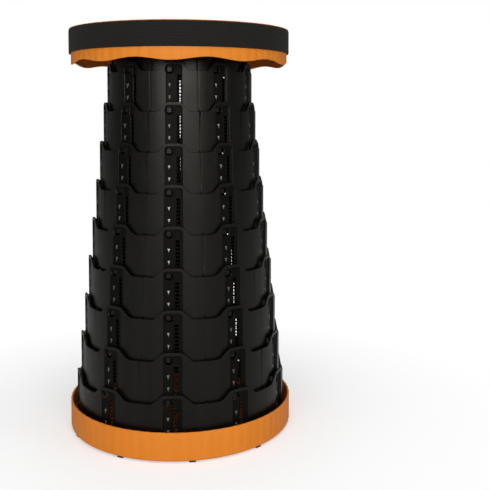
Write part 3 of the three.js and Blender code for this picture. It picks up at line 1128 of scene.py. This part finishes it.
BASE_STEPS = 560
BASE_FOOT = 1.2
BASE_FLOOR_TOP = 3.8
BASE_FLUTE_DEPTH = 0.5
BASE_INNER_FLUTE = 0.35
BASE_EDGE_ROUNDING = 3
BASE_RIM_ROUNDING = 0.6
BASE_COVE_RISE = 1.5
BASE_COVE_REACH = 1.2
PAD_RECESS_RADIUS = 108.3
PAD_RECESS_TOP = 2.2
HOOK_ROOM = 0.45
HOOK_WALL = 3
HOOK_HALF = 3.5
HOOK_SHELF_FOOT = 18.6
HOOK_SHELF = 1.6


def base_shell(material):
    """The round tray with a fluted wall and the hooks that hold the largest section's studs."""
    inner = BASE_RADIUS - BASE_WALL
    edge = BASE_EDGE_ROUNDING
    rim = BASE_RIM_ROUNDING

    def form(radius, height, angle):
        if radius > BASE_RADIUS - edge and height < BASE_FOOT + edge:
            share = (height - BASE_FOOT) / edge
            return radius - share * fluted(angle, BASE_FLUTE_DEPTH), height
        if radius > inner + BASE_WALL / 2:
            return radius - fluted(angle, BASE_FLUTE_DEPTH), height
        if radius > inner - BASE_COVE_REACH / 2 and height > BASE_FLOOR_TOP:
            return radius + BASE_INNER_FLUTE - fluted(angle, BASE_INNER_FLUTE), height
        return radius, height

    profile = [
        (0, PAD_RECESS_TOP),
        (PAD_RECESS_RADIUS, PAD_RECESS_TOP),
        (PAD_RECESS_RADIUS, BASE_FOOT),
        *quarter((BASE_RADIUS - edge, BASE_FOOT + edge), edge, -pi / 2),
        *quarter((BASE_RADIUS - rim, BASE_RIM_HEIGHT - rim), rim, 0),
        *quarter((inner + rim, BASE_RIM_HEIGHT - rim), rim, pi / 2),
        (inner, BASE_FLOOR_TOP + BASE_COVE_RISE),
        (inner - BASE_COVE_REACH, BASE_FLOOR_TOP),
        (0, BASE_FLOOR_TOP),
    ]
    shape = bmesh.new()
    turned(shape, profile, BASE_STEPS, form)
    merge_corners(shape)
    details = bmesh.new()
    for turn in column_turns():
        base_hook(details, inner, turn)
    join_shapes(shape, details)
    return moulding(shape, "base_shell", "orange_plastic", material)


def base_hook(shape, inner, turn):
    """A post on the base's wall with a shelf over the largest section's stud."""
    largest = section_radius(SECTION_COUNT - 1)
    face = sqrt(largest ** 2 - COLUMN_HALF_WIDTH ** 2) + HOOK_ROOM
    place = turned_by(turn)
    wall = rectangle(-GUIDE_ACROSS, HOOK_HALF, inner - HOOK_WALL, inner + SINK)
    shelf = rectangle(-GUIDE_ACROSS, HOOK_HALF, face, inner + SINK)
    extruded(shape, wall, BASE_FLOOR_TOP - SINK, HOOK_SHELF_FOOT + SINK, place)
    extruded(shape, shelf, HOOK_SHELF_FOOT, HOOK_SHELF_FOOT + HOOK_SHELF, place)


# Anti-slip pad

PAD_RADIUS = 108
PAD_TOP = 1.9
PAD_STEPS = 240
PAD_BORDER = 2
PAD_CHAMFER = 0.4
PAD_GROOVE_DEPTH = 0.5
PAD_GROOVE_WIDTH = 1.6
PAD_GROOVE_SLOPE = 0.3
PAD_GROOVE_PITCH = 6
PAD_BORE = 20
PAD_LUG_HALF = 3.5
PAD_LUG_REACH = 125
PAD_LUG_TOP = 1.15
PAD_LUG_ROUNDING = 1
PAD_LUG_TURN = radians(9.6)


def anti_slip_pad(material):
    """A flat round pad with ring grooves and a lug under each column."""
    profile = [(0, 0)]
    radius = PAD_BORE
    while radius + PAD_GROOVE_WIDTH < PAD_RADIUS - PAD_BORDER:
        profile += [
            (radius, 0),
            (radius + PAD_GROOVE_SLOPE, PAD_GROOVE_DEPTH),
            (radius + PAD_GROOVE_WIDTH - PAD_GROOVE_SLOPE, PAD_GROOVE_DEPTH),
            (radius + PAD_GROOVE_WIDTH, 0),
        ]
        radius += PAD_GROOVE_PITCH
    profile += [
        (PAD_RADIUS - PAD_CHAMFER, 0),
        (PAD_RADIUS, PAD_CHAMFER),
        (PAD_RADIUS, PAD_TOP),
        (0, PAD_TOP),
    ]
    shape = bmesh.new()
    turned(shape, profile, PAD_STEPS)
    merge_corners(shape)
    lug = arched(-PAD_LUG_HALF, PAD_LUG_HALF, PAD_RADIUS - PAD_BORDER, PAD_LUG_REACH,
                 PAD_LUG_ROUNDING, PAD_LUG_ROUNDING)
    details = bmesh.new()
    for turn in column_turns(PAD_LUG_TURN):
        extruded(details, lug, 0, PAD_LUG_TOP, turned_by(turn))
    join_shapes(shape, details)
    return moulding(shape, "anti_slip_pad", "black_rubber", material)


# Material nodes

# Heights of surface relief, in metres
FINE = 0.0001
COARSE = 0.0002
THREAD_RELIEF = 0.0003


def fill(node, **inputs):
    """Sets inputs of a node by name, each to a value or to the output of another node."""
    for key, value in inputs.items():
        socket = node.inputs[key.replace("_", " ")]
        if isinstance(value, bpy.types.NodeSocket):
            node.id_data.links.new(value, socket)
        else:
            socket.default_value = value


def new_node(tree, kind, **inputs):
    made = tree.nodes.new("ShaderNode" + kind)
    fill(made, **inputs)
    return made


def new_material(name, roughness, metallic=0):
    material = bpy.data.materials.new(name)
    material.use_nodes = True
    shader = material.node_tree.nodes["Principled BSDF"]
    fill(shader, Roughness=roughness, Metallic=metallic)
    return material, material.node_tree, shader


def product(tree, first, second):
    made = new_node(tree, "Math")
    made.operation = "MULTIPLY"
    tree.links.new(first, made.inputs[0])
    tree.links.new(second, made.inputs[1])
    return made.outputs[0]


def placed(tree, scale=(1, 1, 1)):
    """Object coordinates in metres, stretched by a scale for each axis."""
    source = new_node(tree, "TexCoord").outputs["Object"]
    return new_node(tree, "Mapping", Vector=source, Scale=scale).outputs["Vector"]


def noise(tree, where, scale, detail=3, roughness=0.5):
    made = new_node(tree, "TexNoise", Vector=where, Scale=scale, Detail=detail, Roughness=roughness)
    return made.outputs["Fac"]


def wave(tree, where, scale, direction, distortion):
    made = new_node(tree, "TexWave", Vector=where, Scale=scale, Distortion=distortion)
    made.bands_direction = direction
    return made.outputs["Fac"]


def ranged(tree, value, low=0, high=1, from_low=0.3, from_high=0.7):
    made = new_node(tree, "MapRange", Value=value, From_Min=from_low, From_Max=from_high, To_Min=low,
                    To_Max=high)
    return made.outputs["Result"]


def tinted(tree, shader, value, dark, light):
    """The base colour, between two colours by a value from 0 to 1."""
    made = new_node(tree, "Mix")
    made.data_type = "RGBA"
    # This node has several inputs named A and B. Those for colours are 6 and 7.
    made.inputs[6].default_value = (*dark, 1)
    made.inputs[7].default_value = (*light, 1)
    tree.links.new(value, made.inputs[0])
    fill(shader, Base_Color=made.outputs[2])


def raised(tree, height, strength, distance, below=None):
    made = new_node(tree, "Bump", Height=height, Strength=strength, Distance=distance)
    if below:
        fill(made, Normal=below)
    return made.outputs["Normal"]


# Materials

def moulded_plastic(name, dark, light, gloss, roughness, unevenness, grain, streak):
    """Moulded plastic with a fine grain, faint upright flow streaks and uneven gloss."""
    material, tree, shader = new_material(name, roughness)
    fill(shader, Specular_IOR_Level=gloss, Specular_Tint=(1, 0.97, 0.88, 1))
    here = placed(tree)
    upright = placed(tree, (1, 1, 0.02))
    tinted(tree, shader, ranged(tree, noise(tree, upright, scale=75)), dark, light)
    patches = noise(tree, here, scale=90, detail=5, roughness=0.65)
    uneven = ranged(tree, patches, roughness - unevenness, roughness + unevenness)
    grains = noise(tree, here, scale=2600, detail=2, roughness=0.6)
    streaks = noise(tree, upright, scale=520, detail=3, roughness=0.7)
    relief = raised(tree, streaks, streak, COARSE, raised(tree, grains, grain, FINE))
    fill(shader, Roughness=uneven, Normal=relief)
    return material


def black_plastics():
    """Grained panels, smooth sunk strips and shiny wedges painted light grey as a highlight, in the
    order of the material numbers.
    """
    grained = moulded_plastic("black_plastic", (0.0008, 0.0007, 0.0003), (0.0030, 0.0028, 0.0020),
                              gloss=0.24, roughness=0.33, unevenness=0.05, grain=0.16, streak=0.12)
    smooth = moulded_plastic("smooth_black_plastic", (0.0026, 0.0025, 0.0020), (0.0046, 0.0044, 0.0036),
                             gloss=0.06, roughness=0.45, unevenness=0.06, grain=0.1, streak=0.05)
    # The wedges' high gloss is real; their light grey base colour is a painted highlight.
    glint_painted_plastic = moulded_plastic("black_plastic_painted_glint", (0.05, 0.05, 0.046), (0.09, 0.09, 0.082),
                           gloss=1, roughness=0.22, unevenness=0.04, grain=0.05, streak=0.02)
    return [grained, smooth, glint_painted_plastic]


def orange_plastic():
    return moulded_plastic("orange_plastic", (0.71, 0.210, 0.016), (0.755, 0.230, 0.019),
                           gloss=0.25, roughness=0.5, unevenness=0.05, grain=0.14, streak=0.05)


def woven():
    """Ribbed webbing: threads along and across the ribs, under fine fibres."""
    material, tree, shader = new_material("black_webbing", 0.8)
    fill(shader, Specular_IOR_Level=0.15, Sheen_Weight=0.04, Sheen_Roughness=0.4)
    source = new_node(tree, "UVMap")
    source.uv_map = "weave"
    weft = wave(tree, source.outputs["UV"], 480, "X", distortion=0.4)
    warp = wave(tree, source.outputs["UV"], 400, "Y", distortion=0.3)
    threads = product(tree, weft, warp)
    tone = ranged(tree, threads, from_low=0, from_high=0.9)
    tinted(tree, shader, tone, (0.004, 0.0038, 0.003), (0.034, 0.032, 0.027))
    fibres = noise(tree, placed(tree), scale=3000, detail=2, roughness=0.7)
    relief = raised(tree, fibres, 0.25, FINE, raised(tree, threads, 0.55, THREAD_RELIEF))
    fill(shader, Normal=relief)
    return material


def sewing_thread():
    material, tree, shader = new_material("sewing_thread", 0.6)
    fibres = noise(tree, placed(tree), scale=4000, detail=2, roughness=0.6)
    tinted(tree, shader, ranged(tree, fibres), (0.02, 0.02, 0.02), (0.05, 0.048, 0.045))
    fill(shader, Normal=raised(tree, fibres, 0.3, FINE))
    return material


def rubber():
    material, tree, shader = new_material("matte_rubber", 0.8)
    here = placed(tree)
    patches = ranged(tree, noise(tree, here, scale=60, detail=4))
    tinted(tree, shader, patches, (0.006, 0.006, 0.006), (0.012, 0.012, 0.012))
    fill(shader, Normal=raised(tree, noise(tree, here, scale=1500), 0.4, COARSE))
    return material


def zinc():
    material, tree, shader = new_material("zinc_plated_steel", 0.32, metallic=1)
    here = placed(tree)
    patches = ranged(tree, noise(tree, here, scale=400, detail=4))
    tinted(tree, shader, patches, (0.42, 0.42, 0.43), (0.62, 0.61, 0.58))
    uneven = ranged(tree, noise(tree, here, scale=900, detail=4), 0.25, 0.45)
    relief = raised(tree, noise(tree, here, scale=2000), 0.15, FINE)
    fill(shader, Roughness=uneven, Normal=relief)
    return material


# Camera

CAMERA_DISTANCE = 0.9165
CAMERA_HEIGHT = 0.36
CAMERA_TILT = radians(3)
CAMERA_YAW = radians(4.69)
IMAGE_SIZE = 490
FOCAL_PIXELS = 790.15
SHIFT_PIXELS = 93.8
SENSOR_WIDTH = 36


def make_camera():
    data = bpy.data.cameras.new("camera")
    data.sensor_width = SENSOR_WIDTH
    data.lens = SENSOR_WIDTH * FOCAL_PIXELS / IMAGE_SIZE
    data.shift_y = -SHIFT_PIXELS / IMAGE_SIZE
    camera = bpy.data.objects.new("camera", data)
    camera.location = (0, -CAMERA_DISTANCE, CAMERA_HEIGHT)
    camera.rotation_euler = (pi / 2 - CAMERA_TILT, 0, -CAMERA_YAW)
    bpy.context.collection.objects.link(camera)
    bpy.context.scene.camera = camera


# Floor and background

WHITE = (1, 1, 1, 1)
WORLD_STRENGTH = 0.2
FLOOR_HALF = 6
FLOOR_COLOUR = (0.72, 0.72, 0.72, 1)
FLOOR_ROUGHNESS = 0.9
FLOOR_LIFT = 0.4
# Distances from the axis, in metres, over which the floor fades into the background
FLOOR_FADE_START = 0.14
FLOOR_FADE_END = 0.42


def camera_rays(tree):
    """1 for rays from the camera and 0 for all others."""
    return new_node(tree, "LightPath").outputs["Is Camera Ray"]


def white_world():
    """A soft even light that the camera sees as plain white."""
    world = bpy.data.worlds.new("studio")
    bpy.context.scene.world = world
    world.use_nodes = True
    tree = world.node_tree
    strength = ranged(tree, camera_rays(tree), WORLD_STRENGTH, 1, 0, 1)
    fill(tree.nodes["Background"], Color=WHITE, Strength=strength)


def floor_material():
    """A pale surface, brightened a little for the camera, that fades into plain white further out."""
    material, tree, shader = new_material("pale_floor", FLOOR_ROUGHNESS)
    seen = camera_rays(tree)
    lift = ranged(tree, seen, 0, FLOOR_LIFT, 0, 1)
    fill(shader, Base_Color=FLOOR_COLOUR, Specular_IOR_Level=0, Emission_Color=WHITE,
         Emission_Strength=lift)
    distance = new_node(tree, "VectorMath", Vector=placed(tree))
    distance.operation = "LENGTH"
    far = ranged(tree, distance.outputs["Value"], 0, 1, FLOOR_FADE_START, FLOOR_FADE_END)
    white = new_node(tree, "Emission")
    blend = new_node(tree, "MixShader")
    tree.links.new(product(tree, far, seen), blend.inputs[0])
    tree.links.new(shader.outputs[0], blend.inputs[1])
    tree.links.new(white.outputs[0], blend.inputs[2])
    fill(tree.nodes["Material Output"], Surface=blend.outputs[0])
    return material


def make_floor():
    mesh = bpy.data.meshes.new("floor")
    half = FLOOR_HALF
    corners = [(-half, -half, 0), (half, -half, 0), (half, half, 0), (-half, half, 0)]
    mesh.from_pydata(corners, [], [(0, 1, 2, 3)])
    new_object("floor", mesh, floor_material())


# Lights

LIGHT_TARGET = (0, 0, 0.25)
LIGHT_DISTANCE = 2.2
TOP_LIGHT_DISTANCE = 1.7


def studio_light(name, azimuth, elevation, size, power, distance=LIGHT_DISTANCE):
    """A softbox that faces the stool. The azimuth is to the right of the front, in degrees."""
    turn, rise = radians(azimuth), radians(elevation)
    away = Vector((sin(turn) * cos(rise), -cos(turn) * cos(rise), sin(rise)))
    data = bpy.data.lights.new(name, "AREA")
    data.shape = "RECTANGLE"
    data.size, data.size_y = size
    data.energy = power
    light = bpy.data.objects.new(name, data)
    light.location = Vector(LIGHT_TARGET) + away * distance
    light.rotation_euler = (-away).to_track_quat("-Z", "Y").to_euler()
    bpy.context.collection.objects.link(light)


def make_lights():
    studio_light("key", azimuth=-3, elevation=12, size=(2.8, 0.6), power=35)
    studio_light("left", azimuth=-60, elevation=20, size=(0.5, 0.9), power=1.5)
    studio_light("right", azimuth=62, elevation=22, size=(0.8, 0.8), power=5)
    studio_light("top", azimuth=0, elevation=78, size=(0.9, 0.9), power=10,
                 distance=TOP_LIGHT_DISTANCE)
    studio_light("back", azimuth=180, elevation=40, size=(2.0, 0.8), power=7)


# The whole scene

def make_studio():
    make_camera()
    make_floor()
    white_world()
    make_lights()
    bpy.context.scene.view_settings.view_transform = "Standard"


def make_stool():
    black = black_plastics()
    orange = orange_plastic()
    webbing = woven()
    thread = sewing_thread()
    steel = zinc()
    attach(base_shell(orange), "base")
    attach(anti_slip_pad(rubber()), "base")
    for index in range(1, SECTION_COUNT):
        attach(sliding_section(index, black), f"section_{index + 1:02d}")
    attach(seat_section(black), "seat")
    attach(seat_lid(orange), "seat")
    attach(seat_cap(orange), "seat")
    for name in sorted(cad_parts):
        if "_screw_" in name:
            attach(screw(name, steel), "seat")
    strap_band(webbing)
    strap_overlap(webbing, thread)
    strap_end_tab(webbing, thread)
    carry_handle(webbing, thread)


def main():
    make_studio()
    make_stool()


main()
